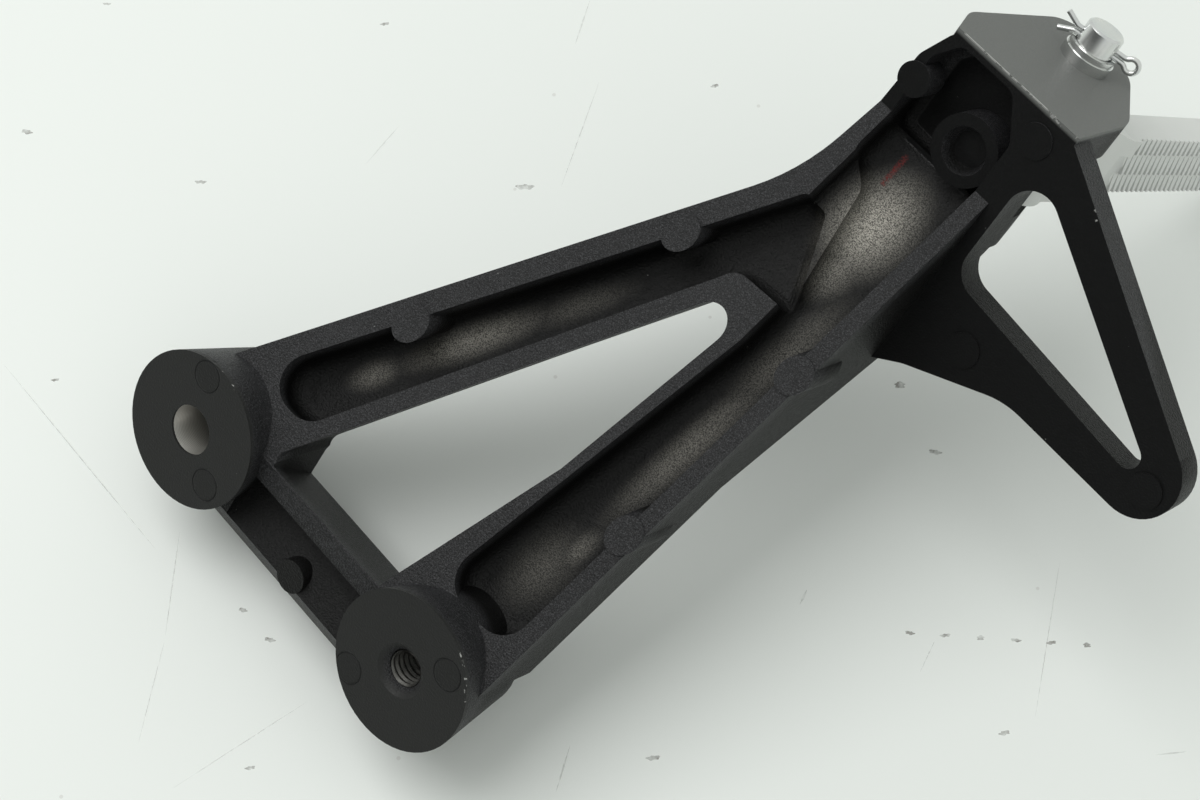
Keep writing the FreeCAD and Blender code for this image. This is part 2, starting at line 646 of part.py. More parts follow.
# Bolt holes, pivot bore, detent bore and the recess behind it.
bolt_radius = size("bolt_bore") / 2
core_radius = size("thread_core") / 2
pivot_radius = size("pin_diameter") / 2 + size("pin_clearance")
ball_bore = size("ball_radius") + size("ball_clearance")
holes = [
    cylinder("bolt_hole", bolt_radius, (0, MARGIN, 0), back_drop + 2 * MARGIN, OUTBOARD),
    cylinder("thread_hole", core_radius, (0, MARGIN, boss_pitch), back_drop + 2 * MARGIN, OUTBOARD),
    cylinder("thread_mouth", core_radius + size("thread_chamfer"), (0, 0, boss_pitch), size("thread_chamfer"),
             OUTBOARD, core_radius),
    cylinder("pivot_hole", pivot_radius, (front_face - MARGIN, -pin_drop, pin_height),
             rear_face - front_face + 2 * MARGIN, REARWARD),
    cylinder("detent_hole", ball_bore, (clevis_middle, -throat_drop - 1, pin_height),
             size("detent_depth") + 1, INBOARD),
    cylinder("ring_recess", size("ring_recess_radius"), (clevis_middle, -ring_top, pin_height),
             size("ring_recess"), OUTBOARD, size("ring_recess_radius") * 0.75),
]
bracket = cut("bracket", dressed, holes)

# Peg: knuckle with a stop, neck and tread bar with rows of teeth, tilted up about the pivot.
tilt = size("peg_rise")
peg_frame = FreeCAD.Placement(
    FreeCAD.Vector(clevis_middle.number, -pin_drop.number, pin_height.number),
    FreeCAD.Rotation(FreeCAD.Vector(1, 0, 0), -tilt.number))
knuckle_radius = size("throat_gap") - size("knuckle_gap")
half_knuckle = size("clevis_gap") / 2 - size("knuckle_play")
half_neck = size("neck_width") / 2
half_tread = size("tread_width") / 2
half_tip = size("tread_tip_width") / 2
peg_length = size("peg_length")
tread_top = size("tread_top")
tread_low = tread_top - size("tread_height")
tread_corners = [
    (half_neck, 0), (-half_neck, 0), (-half_neck, -knuckle_radius),
    (-half_tread, -size("neck_end")), (-half_tip, -peg_length),
    (half_tip, -peg_length), (half_tread, -size("neck_end")), (half_neck, -knuckle_radius)]
tread_bar = prism("tread_bar", outline("tread_plan", SIDE, tread_corners, peg_frame), tread_low, tread_top)


def at_tip(edge):
    first, last = [peg_frame.inverse().multVec(v.Point) for v in (edge.Vertexes[0], edge.Vertexes[-1])]
    upright = abs(first.x - last.x) < 1e-4 and abs(first.y - last.y) < 1e-4
    return upright and abs(first.y + peg_length.number) < 1e-3


tread_blank = rounded("tread_blank", tread_bar, size("tread_tip_round"), at_tip)

# Each row of teeth is a ramp that rises to the front and ends in a step; V notches run across all rows.
pitch, depth, first_notch = size("tooth_pitch"), size("tooth_depth"), size("tooth_start")
half_notch = size("notch_width") / 2
comb = [(-first_notch, tread_top + 1)]
for tooth in range(int(size("tooth_count").number)):
    middle = first_notch + pitch * (tooth + 0.5)
    comb.append((-(middle - half_notch), tread_top + 0.02))
    comb.append((-middle, tread_top - depth))
    comb.append((-(middle + half_notch), tread_top + 0.02))
comb.append((-(middle + pitch), tread_top + 1))
notches = prism("notches", outline("notch_side", END, comb, peg_frame), -half_neck, half_neck)
ramp_low = tread_top - depth
row_edge = size("row_edge")
ramp_corners = [
    (half_neck, tread_top + 1), (half_neck, ramp_low),
    (size("row_rear") + row_edge, tread_top), (size("row_rear"), ramp_low),
    (size("row_front") + row_edge, tread_top), (size("row_front"), ramp_low),
    (-half_tread + 0.3, tread_top), (-half_neck, tread_top), (-half_neck, tread_top + 1)]
ramps = prism("ramps", outline("ramp_end", PLAN, ramp_corners, peg_frame), first_notch, peg_length + MARGIN)
scallop_side = FreeCAD.Placement(FreeCAD.Vector(), FreeCAD.Rotation(FreeCAD.Vector(0, 1, 0), 90))
scallop = doc.addObject("Part::Cylinder", "scallop")
bind(scallop, "Radius", size("scallop_radius"))
bind(scallop, "Height", size("row_rear") + half_neck)
scallop_place = FreeCAD.Placement(
    FreeCAD.Vector(-half_neck.number, -(first_notch - size("scallop_radius") * 0.6).number,
                   (tread_top + size("scallop_radius") - size("scallop_depth")).number), FreeCAD.Rotation())
scallop.Placement = peg_frame.multiply(scallop_place).multiply(scallop_side)

knuckle = cylinder("knuckle", knuckle_radius, (clevis_middle - half_knuckle, -pin_drop, pin_height),
                   2 * half_knuckle, REARWARD)
heel_face = -(throat_drop + size("heel_gap"))
heel_side = outline("heel_side", END, [
    (-pin_drop - 2, pin_height - size("heel_top")),
    (heel_face, pin_height - size("heel_top")),
    (heel_face, pin_height - knuckle_radius),
    (-pin_drop - 2, pin_height - knuckle_radius)])
heel = prism("heel", heel_side, clevis_middle - half_knuckle, clevis_middle + half_knuckle)
peg_blank = join("peg_blank", [tread_blank, knuckle, heel])

ball_middle = throat_drop + size("ball_reach") - size("ball_radius")
track = doc.addObject("Part::Torus", "ball_track")
bind(track, "Radius1", pin_drop - ball_middle)
bind(track, "Radius2", size("ball_radius") + size("track_clearance"))
track.Placement = FreeCAD.Placement(FreeCAD.Vector(), FreeCAD.Rotation(FreeCAD.Vector(0, 1, 0), 90))
for letter, value in zip("xyz", (clevis_middle, -pin_drop, pin_height)):
    bind(track, f"Placement.Base.{letter}", value)
peg_bore = cylinder("peg_bore", pivot_radius, (front_inner - MARGIN, -pin_drop, pin_height),
                    size("clevis_gap") + 2 * MARGIN, REARWARD)
peg = cut("peg", peg_blank, [ramps, notches, scallop, track, peg_bore])

# Pivot pin with its head at the front, two washers on the rear ear and the split pin.
pin_radius = size("pin_diameter") / 2
split_radius = 2 * size("split_wire") + size("split_gap") / 2
washer_face = rear_face + size("spacer_thickness")
split_x = washer_face + size("washer_thickness") + split_radius + size("split_play")
pin_end = split_x + size("pin_tail")
pin_body = join("pin_body", [
    cylinder("pin_head", size("pin_head_radius"),
             (front_face - size("pin_head_height"), -pin_drop, pin_height), size("pin_head_height"), REARWARD),
    cylinder("pin_shank", pin_radius, (front_face, -pin_drop, pin_height),
             pin_end - front_face - size("pin_chamfer"), REARWARD),
    cylinder("pin_point", pin_radius, (pin_end - size("pin_chamfer"), -pin_drop, pin_height),
             size("pin_chamfer"), REARWARD, pin_radius - size("pin_chamfer"))])
split_angle = size("split_tilt").number
split_up = FreeCAD.Vector(0, -math.sin(math.radians(split_angle)), math.cos(math.radians(split_angle)))
split_hole = cylinder("split_hole", split_radius + size("split_play"), (split_x, 0, 0), 4 * pin_radius,
                      tuple(split_up))
bind(split_hole, "Placement.Base.y", -pin_drop + 2 * pin_radius * sine(size("split_tilt")))
bind(split_hole, "Placement.Base.z", pin_height - 2 * pin_radius * cosine(size("split_tilt")))
pivot_pin = cut("pivot_pin", pin_body, [split_hole])


def washer(name, radius, start, thickness):
    disc = cylinder(name + "_disc", radius, (start, -pin_drop, pin_height), thickness, REARWARD)
    hole = cylinder(name + "_hole", pin_radius + size("washer_play"), (start - 1, -pin_drop, pin_height),
                    thickness + 2, REARWARD)
    return cut(name, disc, [hole])


spacer_washer = washer("spacer_washer", size("spacer_radius"), rear_face, size("spacer_thickness"))
thin_washer = washer("thin_washer", size("washer_radius"), washer_face, size("washer_thickness"))


def split_pin_path():
    """Middle line of the folded wire in its own plane: along the pin (first) and up to the eye (second)."""
    wire = size("split_wire").number
    side = wire + size("split_gap").number / 2
    through = pin_radius.number + 0.6
    eye = size("split_eye").number
    eye_height = pin_radius.number + size("split_neck").number + math.sqrt((2 * eye) ** 2 - (eye + side) ** 2)
    spread = math.radians(size("split_spread").number)
    leg = size("split_leg").number
    bend = 3 * wire
    turn = FreeCAD.Vector

    # The bend at the foot of each leg turns away from the other leg.
    foot = turn(side + bend * (1 - math.cos(spread)), -through - bend * math.sin(spread), 0)
    mid = turn(side + bend * (1 - math.cos(spread / 2)), -through - bend * math.sin(spread / 2), 0)
    end = foot + turn(math.sin(spread), -math.cos(spread), 0) * leg

    # The neck curves out to the eye on a circle of the same radius, tangent to leg and eye.
    centre = turn(side + eye, eye_height - math.sqrt((2 * eye) ** 2 - (eye + side) ** 2), 0)
    middle = turn(0, eye_height, 0)
    touch = (centre + middle) * 0.5
    neck_dir = (touch - centre).normalize() + turn(-1, 0, 0)
    neck_mid = centre + neck_dir.normalize() * eye

    def other(v):
        return turn(-v.x, v.y, 0)
    top = middle + turn(0, eye, 0)
    return Part.Wire([
        Part.LineSegment(end, foot).toShape(),
        Part.Arc(foot, mid, turn(side, -through, 0)).toShape(),
        Part.LineSegment(turn(side, -through, 0), turn(side, centre.y, 0)).toShape(),
        Part.Arc(turn(side, centre.y, 0), neck_mid, touch).toShape(),
        Part.Arc(touch, top, other(touch)).toShape(),
        Part.Arc(other(touch), other(neck_mid), turn(-side, centre.y, 0)).toShape(),
        Part.LineSegment(turn(-side, centre.y, 0), turn(-side, -through, 0)).toShape(),
        Part.Arc(turn(-side, -through, 0), other(mid), other(foot)).toShape(),
        Part.LineSegment(other(foot), other(end)).toShape()])


def swept_wire(name, path, radius):
    """Round wire along a path, which neither a sketch nor a primitive gives."""
    first = path.Edges[0]
    start = first.valueAt(first.FirstParameter)
    along = first.tangentAt(first.FirstParameter)
    section = Part.Wire([Part.Circle(start, along, radius).toShape()])
    feature = doc.addObject("Part::Feature", name)
    feature.Shape = path.makePipeShell([section], True, True)
    return feature


split_pin = swept_wire("split_pin", split_pin_path(), size("split_wire").number)
split_pin.Placement = FreeCAD.Placement(
    FreeCAD.Vector(split_x.number, -pin_drop.number, pin_height.number),
    FreeCAD.Rotation(FreeCAD.Vector(1, 0, 0), split_up, FreeCAD.Vector(), "XYZ"))

# Detent: a ball pushed out of the throat by a short coil spring.
ball = doc.addObject("Part::Sphere", "detent_ball")
bind(ball, "Radius", size("ball_radius"))
for letter, value in zip("xyz", (clevis_middle, -ball_middle, pin_height)):
    bind(ball, f"Placement.Base.{letter}", value)

spring_radius = ball_bore - 0.15 - size("spring_wire") / 2
spring_seat = throat_drop - size("detent_depth")
spring_end = ball_middle - size("ball_radius") - size("spring_travel") - size("spring_wire")
spring_length = (spring_end - spring_seat).number
coil = Part.makeHelix(spring_length / size("spring_turns").number, spring_length, spring_radius.number)
spring = swept_wire("detent_spring", Part.Wire(coil.Edges), size("spring_wire").number / 2)
spring.Placement = FreeCAD.Placement(
    FreeCAD.Vector(clevis_middle.number, -(spring_seat + size("spring_wire") / 2).number, pin_height.number),
    FreeCAD.Rotation(FreeCAD.Vector(0, 0, 1), FreeCAD.Vector(*OUTBOARD)))

doc.recompute()

PIECES = [bracket, peg, pivot_pin, spacer_washer, thin_washer, split_pin, ball, spring]
for obj in doc.Objects:
    if "Invalid" in obj.State or "Error" in obj.State:
        raise RuntimeError(f"{obj.Name} did not rebuild: {obj.State}")
for piece in PIECES:
    if piece.Shape.isNull() or not piece.Shape.isValid():
        raise RuntimeError(f"{piece.Name} is not a valid solid")

os.makedirs("parts", exist_ok=True)
for piece in PIECES:
    piece.Label = piece.Name
    piece.Shape.exportStep(f"parts/{piece.Label}.step")
    box = piece.Shape.BoundBox
    print(f"{piece.Label}: {len(piece.Shape.Solids)} solid, {piece.Shape.Volume:.0f} mm3, "
          f"x {box.XMin:.1f} to {box.XMax:.1f}, y {box.YMin:.1f} to {box.YMax:.1f}, "
          f"z {box.ZMin:.1f} to {box.ZMax:.1f}")
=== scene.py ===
import bpy
import numpy as np
from mathutils import Matrix, Vector


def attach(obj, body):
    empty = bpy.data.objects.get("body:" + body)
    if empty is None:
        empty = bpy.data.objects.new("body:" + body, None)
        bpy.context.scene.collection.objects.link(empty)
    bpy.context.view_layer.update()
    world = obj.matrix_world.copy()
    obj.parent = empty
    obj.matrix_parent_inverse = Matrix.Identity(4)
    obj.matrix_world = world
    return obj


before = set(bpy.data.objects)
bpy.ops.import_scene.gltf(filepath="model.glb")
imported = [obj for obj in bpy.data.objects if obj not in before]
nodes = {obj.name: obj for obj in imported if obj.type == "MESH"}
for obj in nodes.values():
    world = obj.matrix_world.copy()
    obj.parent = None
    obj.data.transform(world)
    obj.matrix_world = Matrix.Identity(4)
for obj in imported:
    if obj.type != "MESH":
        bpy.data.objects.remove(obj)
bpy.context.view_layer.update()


# BRACKET
# One die casting in satin black with a fine dry grain: rims and arms greyer, the guard and boss faces
# smoother and darker, the channels near-black with painted shade, and the rear ear's outer face a lighter
# grey as a painted sheen. Handling has chipped a few edges bright, a painted highlight runs along the rear
# ear's edge, and pale dry spray lies in the channels, partly painted highlight where their floors face the
# light.

def node(tree, kind, sockets=None, **settings):
    """A shader node of one kind; sockets maps an input to a constant or to another node's output."""
    made = tree.nodes.new("ShaderNode" + kind)
    for key, value in settings.items():
        setattr(made, key, value)
    for key, value in (sockets or {}).items():
        if isinstance(value, bpy.types.NodeSocket):
            tree.links.new(value, made.inputs[key])
        else:
            made.inputs[key].default_value = value
    return made


def group(name, inputs, outputs):
    """An empty shader node group with named sockets, and its input and output nodes."""
    tree = bpy.data.node_groups.new(name, "ShaderNodeTree")
    for label, kind, default in inputs:
        socket = tree.interface.new_socket(label, in_out="INPUT", socket_type="NodeSocket" + kind)
        socket.default_value = default
    for label, kind in outputs:
        tree.interface.new_socket(label, in_out="OUTPUT", socket_type="NodeSocket" + kind)
    return tree, tree.nodes.new("NodeGroupInput").outputs, tree.nodes.new("NodeGroupOutput").inputs


def use(tree, shared, sockets):
    """A shared group placed in a material's tree."""
    return node(tree, "Group", sockets, node_tree=shared).outputs


def grain_group():
    """Fine cast or blasted grain: two noises give a height, and the coarse one a slow change of tone."""
    tree, given, wanted = group("Grain", [
        ("Vector", "Vector", (0, 0, 0)), ("Scale", "Float", 2600.0)],
        [("Height", "Float"), ("Tone", "Float")])
    fine = node(tree, "TexNoise", {"Vector": given["Vector"], "Scale": given["Scale"], "Detail": 3.0})
    slow = node(tree, "TexNoise", {"Vector": given["Vector"], "Scale": 55.0, "Detail": 4.0})
    tree.links.new(fine.outputs["Fac"], wanted["Height"])
    tree.links.new(slow.outputs["Fac"], wanted["Tone"])
    return tree


def stroke_group():
    """A stroke between two points: 1 on the line from Start to End, fading out at Width from it."""
    tree, given, wanted = group("Stroke", [
        ("Vector", "Vector", (0, 0, 0)), ("Start", "Vector", (0, 0, 0)), ("End", "Vector", (1, 0, 0)),
        ("Width", "Float", 0.0005)], [("Mask", "Float")])
    away = node(tree, "VectorMath", {0: given["Vector"], 1: given["Start"]}, operation="SUBTRACT").outputs[0]
    run = node(tree, "VectorMath", {0: given["End"], 1: given["Start"]}, operation="SUBTRACT").outputs[0]
    over = node(tree, "VectorMath", {0: away, 1: run}, operation="DOT_PRODUCT").outputs["Value"]
    whole = node(tree, "VectorMath", {0: run, 1: run}, operation="DOT_PRODUCT").outputs["Value"]
    share = node(tree, "Math", {0: over, 1: whole}, operation="DIVIDE", use_clamp=True).outputs[0]
    foot = node(tree, "VectorMath", {0: run, "Scale": share}, operation="SCALE").outputs[0]
    off = node(tree, "VectorMath", {0: away, 1: foot}, operation="DISTANCE").outputs["Value"]
    part = node(tree, "Math", {0: off, 1: given["Width"]}, operation="DIVIDE").outputs[0]
    mask = node(tree, "MapRange", {"Value": part, "From Min": 1.0, "From Max": 0.4}).outputs["Result"]
    tree.links.new(mask, wanted["Mask"])
    return tree


def speck_group():
    """Sparse small specks of dust: cells of a Voronoi pattern kept at random and shrunk to dots."""
    tree, given, wanted = group("Dust specks", [
        ("Vector", "Vector", (0, 0, 0)), ("Scale", "Float", 700.0), ("Share", "Float", 0.03),
        ("Size", "Float", 0.09)], [("Mask", "Float")])
    cell = node(tree, "TexVoronoi", {"Vector": given["Vector"], "Scale": given["Scale"]})
    picked = node(tree, "SeparateColor", {"Color": cell.outputs["Color"]})
    chosen = node(tree, "Math", {0: picked.outputs["Red"], 1: given["Share"]}, operation="LESS_THAN")
    dot = node(tree, "Math", {0: cell.outputs["Distance"], 1: given["Size"]}, operation="LESS_THAN")
    both = node(tree, "Math", {0: chosen.outputs[0], 1: dot.outputs[0]}, operation="MULTIPLY")
    tree.links.new(both.outputs[0], wanted["Mask"])
    return tree


def spray_and_highlight_group():
    """A soft pale spot, partly dry spray and partly painted highlight: 1 at Centre, 0 at Reach from it, and
    Stretch times as far along the arm.
    """
    tree, given, wanted = group("Spray and painted highlight", [
        ("Vector", "Vector", (0, 0, 0)), ("Centre", "Vector", (0, 0, 0)), ("Along", "Vector", (1, 0, 0)),
        ("Reach", "Float", 0.004), ("Stretch", "Float", 1.0), ("Strength", "Float", 1.0)],
        [("Mask", "Float")])
    away = node(tree, "VectorMath", {0: given["Vector"], 1: given["Centre"]}, operation="SUBTRACT").outputs[0]
    over = node(tree, "VectorMath", {0: away, 1: given["Along"]}, operation="DOT_PRODUCT").outputs["Value"]
    foot = node(tree, "VectorMath", {0: given["Along"], "Scale": over}, operation="SCALE").outputs[0]
    side = node(tree, "VectorMath", {0: away, 1: foot}, operation="DISTANCE").outputs["Value"]
    shrunk = node(tree, "Math", {0: over, 1: given["Stretch"]}, operation="DIVIDE").outputs[0]
    square = node(tree, "Math", {0: shrunk, 1: shrunk}, operation="MULTIPLY").outputs[0]
    total = node(tree, "Math", {0: side, 1: side, 2: square}, operation="MULTIPLY_ADD").outputs[0]
    far = node(tree, "Math", {0: total}, operation="SQRT").outputs[0]
    part = node(tree, "Math", {0: far, 1: given["Reach"]}, operation="DIVIDE").outputs[0]
    soft = node(tree, "MapRange", {"Value": part, "From Min": 1.0, "From Max": 0.0},
                interpolation_type="SMOOTHSTEP").outputs["Result"]
    mask = node(tree, "Math", {0: soft, 1: given["Strength"]}, operation="MULTIPLY").outputs[0]
    tree.links.new(mask, wanted["Mask"])
    return tree


def ring_group():
    """The thin round line an ejector pin leaves in a flat face: 1 on a circle round the centre's axis."""
    tree, given, wanted = group("Ejector ring", [
        ("Vector", "Vector", (0, 0, 0)), ("Centre", "Vector", (0, 0, 0)), ("Radius", "Float", 0.00285)],
        [("Line", "Float"), ("Disc", "Float")])
    flat = node(tree, "VectorMath", {0: given["Vector"], 1: given["Centre"]}, operation="DISTANCE")
    off = node(tree, "Math", {0: flat.outputs["Value"], 1: given["Radius"]}, operation="SUBTRACT")
    size = node(tree, "Math", {0: off.outputs[0]}, operation="ABSOLUTE")
    line = node(tree, "MapRange", {"Value": size.outputs[0], "From Min": 0.00022, "From Max": 0.00006})
    disc = node(tree, "MapRange", {"Value": off.outputs[0], "From Min": 0.0001, "From Max": -0.0001})
    tree.links.new(line.outputs["Result"], wanted["Line"])
    tree.links.new(disc.outputs["Result"], wanted["Disc"])
    return tree


grain, stroke, specks, spray_and_highlight, ring = (
    grain_group(), stroke_group(), speck_group(), spray_and_highlight_group(), ring_group())


def material(name, slot_color):
    """A Principled material with its tree, surface node and object coordinates."""
    made = bpy.data.materials.new(name)
    made.use_nodes = True
    made.diffuse_color = (*slot_color, 1)
    tree = made.node_tree
    surface = tree.nodes["Principled BSDF"]
    place = node(tree, "TexCoord").outputs["Object"]
    return made, tree, surface, place


def strongest(tree, masks):
    """The greatest of several masks."""
    top = masks[0]
    for mask in masks[1:]:
        top = node(tree, "Math", {0: top, 1: mask}, operation="MAXIMUM").outputs[0]
    return top


def ramp(tree, value, start, end, low=0.0, high=1.0):
    """The value's way from start to end, laid out from low to high."""
    return node(tree, "MapRange", {"Value": value, "From Min": start, "From Max": end, "To Min": low,
                                   "To Max": high}).outputs["Result"]


def times(tree, first, second):
    """The product of two values."""
    return node(tree, "Math", {0: first, 1: second}, operation="MULTIPLY").outputs[0]


def blend(tree, factor, first, second):
    """Mixes two colours by a factor."""
    mixed = node(tree, "Mix", {"Factor": factor}, data_type="RGBA")
    for index, value in ((6, first), (7, second)):
        if isinstance(value, bpy.types.NodeSocket):
            tree.links.new(value, mixed.inputs[index])
        else:
            mixed.inputs[index].default_value = value
    return mixed.outputs[2]


LOW_ARM = (0.766, -0.475, 0.433)
TOP_ARM = (0.849, -0.526, 0.051)
SPRAY_AND_HIGHLIGHT = [
    # centre, along, reach, stretch, strength
    ((0.0206, -0.0226, 0.0134), LOW_ARM, 0.0034, 2.0, 0.34),
    ((0.0350, -0.0315, 0.0218), LOW_ARM, 0.0040, 4.6, 0.50),
    ((0.0500, -0.0409, 0.0310), LOW_ARM, 0.0034, 4.0, 0.18),
    ((0.0200, -0.0224, 0.0600), TOP_ARM, 0.0070, 1.7, 0.20),
    ((0.0255, -0.0257, 0.0623), TOP_ARM, 0.0030, 2.2, 0.30),
    ((0.0470, -0.0390, 0.0628), TOP_ARM, 0.0042, 6.0, 0.36),
    ((0.0660, -0.0507, 0.0630), TOP_ARM, 0.0046, 4.0, 0.26),
    ((0.0880, -0.0644, 0.0572), TOP_ARM, 0.0100, 1.4, 1.00),
    ((0.0800, -0.0595, 0.0580), TOP_ARM, 0.0060, 1.5, 0.45),
]
BOSS_MARKS = [(-0.0084, 0, 0.0500), (0.0073, 0, 0.0654), (0.0110, 0, -0.0023), (-0.0059, 0, 0.0080)]
CHIPS_AND_EDGE_HIGHLIGHT = [
    # start, end, width, share of the edge that is marked
    # The second row, a dense thin line along the rear ear's edge, is a painted highlight; the other rows are
    # chipped edges.
    ((0.124, -0.066, 0.0695), (0.124, -0.066, 0.0750), 0.0007, 0.3),
    ((0.124, -0.066, 0.0500), (0.124, -0.066, 0.0695), 0.00028, 0.8),
    ((0.0128, 0, 0.0644), (0.0101, 0, 0.0681), 0.0003, 0.05),
    ((0.0101, 0, 0.0681), (0.0065, 0, 0.0707), 0.0004, 0.2),
    ((0.0138, 0, 0.0038), (0.0142, 0, -0.0020), 0.0003, 0.2),
    ((0.1170, -0.066, 0.0850), (0.1155, -0.066, 0.0870), 0.0003, 0.1),
    ((0.1045, -0.066, 0.1025), (0.1035, -0.066, 0.1040), 0.0003, 0.1),
]
RED_DASH = ((0.0936, 0, 0.0531), (0.0982, 0, 0.0526))
DASH_WIDTH = 0.0007
GRIT_SCALE = 2800.0
SAND_SCALE = 4600.0
RIM_SLOPE = (0.527, 0.85, 0)
CAST_DARK = (0.0035, 0.0035, 0.0037, 1)
CAST_GREY = (0.0170, 0.0172, 0.0180, 1)
CAST_SPARKLE = (0.046, 0.046, 0.049, 1)
CHANNEL_PAINTED_SHADE = (0.0018, 0.0018, 0.0017, 1)
BOSS_GREY = (0.0170, 0.0173, 0.0167, 1)
FLAT_BLACK = (0.0056, 0.0057, 0.0058, 1)
EAR_PAINTED_SHEEN = (0.120, 0.124, 0.118, 1)
SPRAY_AND_HIGHLIGHT_GREY = (0.47, 0.448, 0.395, 1)
DASH_RED = (0.16, 0.012, 0.010, 1)
DUST_GREY = (0.13, 0.13, 0.125, 1)
MARK_BLACK = (0.004, 0.004, 0.004, 1)
LINE_BLACK = (0.002, 0.002, 0.002, 1)
CHIP_AND_HIGHLIGHT_METAL = (0.50, 0.50, 0.485, 1)
EDGE_ROUND = 0.0007

paint, tree, surface, place = material("black_casting", (0.03, 0.03, 0.032))
grit = use(tree, grain, {"Vector": place, "Scale": GRIT_SCALE})
sand = use(tree, grain, {"Vector": place, "Scale": SAND_SCALE})
spot = node(tree, "SeparateXYZ", {"Vector": place}).outputs
facing = node(tree, "TexCoord").outputs["Normal"]
turned = node(tree, "SeparateXYZ", {"Vector": facing}).outputs

# The faces by their place: boss faces at the front, channels below the sloping rims, flats and ear behind.
boss_face = ramp(tree, spot["Y"], -0.0012, -0.0004)
below_rim = node(tree, "VectorMath", {0: place, 1: RIM_SLOPE}, operation="DOT_PRODUCT").outputs["Value"]
shaded_channel = ramp(tree, below_rim, -0.0022, -0.0045)
clevis_flat = times(tree, ramp(tree, turned["Y"], 0.97, 0.99), ramp(tree, spot["Y"], -0.063, -0.065))
ear_face = ramp(tree, spot["X"], 0.1230, 0.1236)
color = blend(tree, grit["Tone"], CAST_DARK, CAST_GREY)
color = blend(tree, ramp(tree, sand["Height"], 0.48, 0.66), color, CAST_SPARKLE)
# Painted shade: the channels below the rims get a near-black colour for the shade that lies in them.
color = blend(tree, shaded_channel, color, CHANNEL_PAINTED_SHADE)
color = blend(tree, boss_face, color, BOSS_GREY)
color = blend(tree, clevis_flat, color, FLAT_BLACK)
# Painted sheen: the rear ear's outer face is a lighter grey for the glancing reflection on it, so from other
# sides it looks greyer than satin black.
color = blend(tree, ear_face, color, EAR_PAINTED_SHEEN)

# Pale dry spray broken into grains, partly painted highlight where the channel floors face the light.
spray_and_highlight_spots = [use(tree, spray_and_highlight, {"Vector": place, "Centre": centre, "Along": along, "Reach": reach,
                                "Stretch": stretch, "Strength": strength})["Mask"]
          for centre, along, reach, stretch, strength in SPRAY_AND_HIGHLIGHT]
grains = ramp(tree, sand["Height"], 0.40, 0.60, 0.2, 1.0)
spray_and_highlight_mask = times(tree, strongest(tree, spray_and_highlight_spots), grains)
color = blend(tree, spray_and_highlight_mask, color, SPRAY_AND_HIGHLIGHT_GREY)

# A faint red dash of marker in front of the ring.
on_plan = node(tree, "VectorMath", {0: place, 1: (1, 0, 1)}, operation="MULTIPLY").outputs[0]
dash = use(tree, stroke, {"Vector": on_plan, "Start": RED_DASH[0], "End": RED_DASH[1],
                          "Width": DASH_WIDTH})["Mask"]
dash = times(tree, dash, ramp(tree, turned["Y"], 0.3, 0.6))
dash = times(tree, dash, ramp(tree, grit["Height"], 0.35, 0.75))
color = blend(tree, dash, color, DASH_RED)

# Dust, the ejector marks in the boss faces, the chipped edges and a painted highlight along the rear ear's
# edge.
dust = use(tree, specks, {"Vector": place})["Mask"]
color = blend(tree, dust, color, DUST_GREY)
marks = [use(tree, ring, {"Vector": place, "Centre": centre}) for centre in BOSS_MARKS]
line = strongest(tree, [mark["Line"] for mark in marks])
disc = strongest(tree, [mark["Disc"] for mark in marks])
color = blend(tree, times(tree, disc, 0.3), color, MARK_BLACK)
color = blend(tree, line, color, LINE_BLACK)
flakes = node(tree, "TexNoise", {"Vector": place, "Scale": 1100.0, "Detail": 4.0}).outputs["Fac"]
chip_and_highlight_strokes = []
for start, end, width, share in CHIPS_AND_EDGE_HIGHLIGHT:
    edge = use(tree, stroke, {"Vector": place, "Start": start, "End": end, "Width": width})["Mask"]
    chip_and_highlight_strokes.append(times(tree, edge, ramp(tree, flakes, 0.62 - 0.25 * share, 0.66 - 0.25 * share)))
chips_and_highlight = strongest(tree, chip_and_highlight_strokes)
# Chips and the painted edge highlight are drawn as pale metal.
color = blend(tree, chips_and_highlight, color, CHIP_AND_HIGHLIGHT_METAL)
tree.links.new(color, surface.inputs["Base Color"])
tree.links.new(times(tree, chips_and_highlight, 0.7), surface.inputs["Metallic"])

# Satin sheen, smoother on the flats; the grain stands out least on the flat faces.
satin = ramp(tree, grit["Height"], 0.3, 0.7, 0.42, 0.56)
smooth = ramp(tree, clevis_flat, 0.0, 1.0, 1.0, 0.72)
tree.links.new(times(tree, satin, smooth), surface.inputs["Roughness"])
surface.inputs["Specular IOR Level"].default_value = 0.24
calm = ramp(tree, strongest(tree, [clevis_flat, boss_face, ear_face]), 0.0, 1.0, 1.0, 0.35)
height = times(tree, grit["Height"], calm)
raised = node(tree, "Math", {0: height, 1: line}, operation="SUBTRACT").outputs[0]
bump = node(tree, "Bump", {"Height": raised, "Strength": 1.0, "Distance": 0.00026})
tree.links.new(bump.outputs["Normal"], surface.inputs["Normal"])


def finish(name, paint, bevel=0.0):
    """Gives a CAD piece its material and, where wanted, softly rounded edges."""
    piece = nodes[name]
    piece.data.materials.clear()
    piece.data.materials.append(paint)
    if bevel:
        weld = piece.modifiers.new("weld", "WELD")
        weld.merge_threshold = 1e-6
        soft = piece.modifiers.new("soft edges", "BEVEL")
        soft.width = bevel
        soft.segments = 3
        soft.limit_method = "ANGLE"
        soft.angle_limit = 0.6
        soft.harden_normals = True


finish("bracket", paint, EDGE_ROUND)


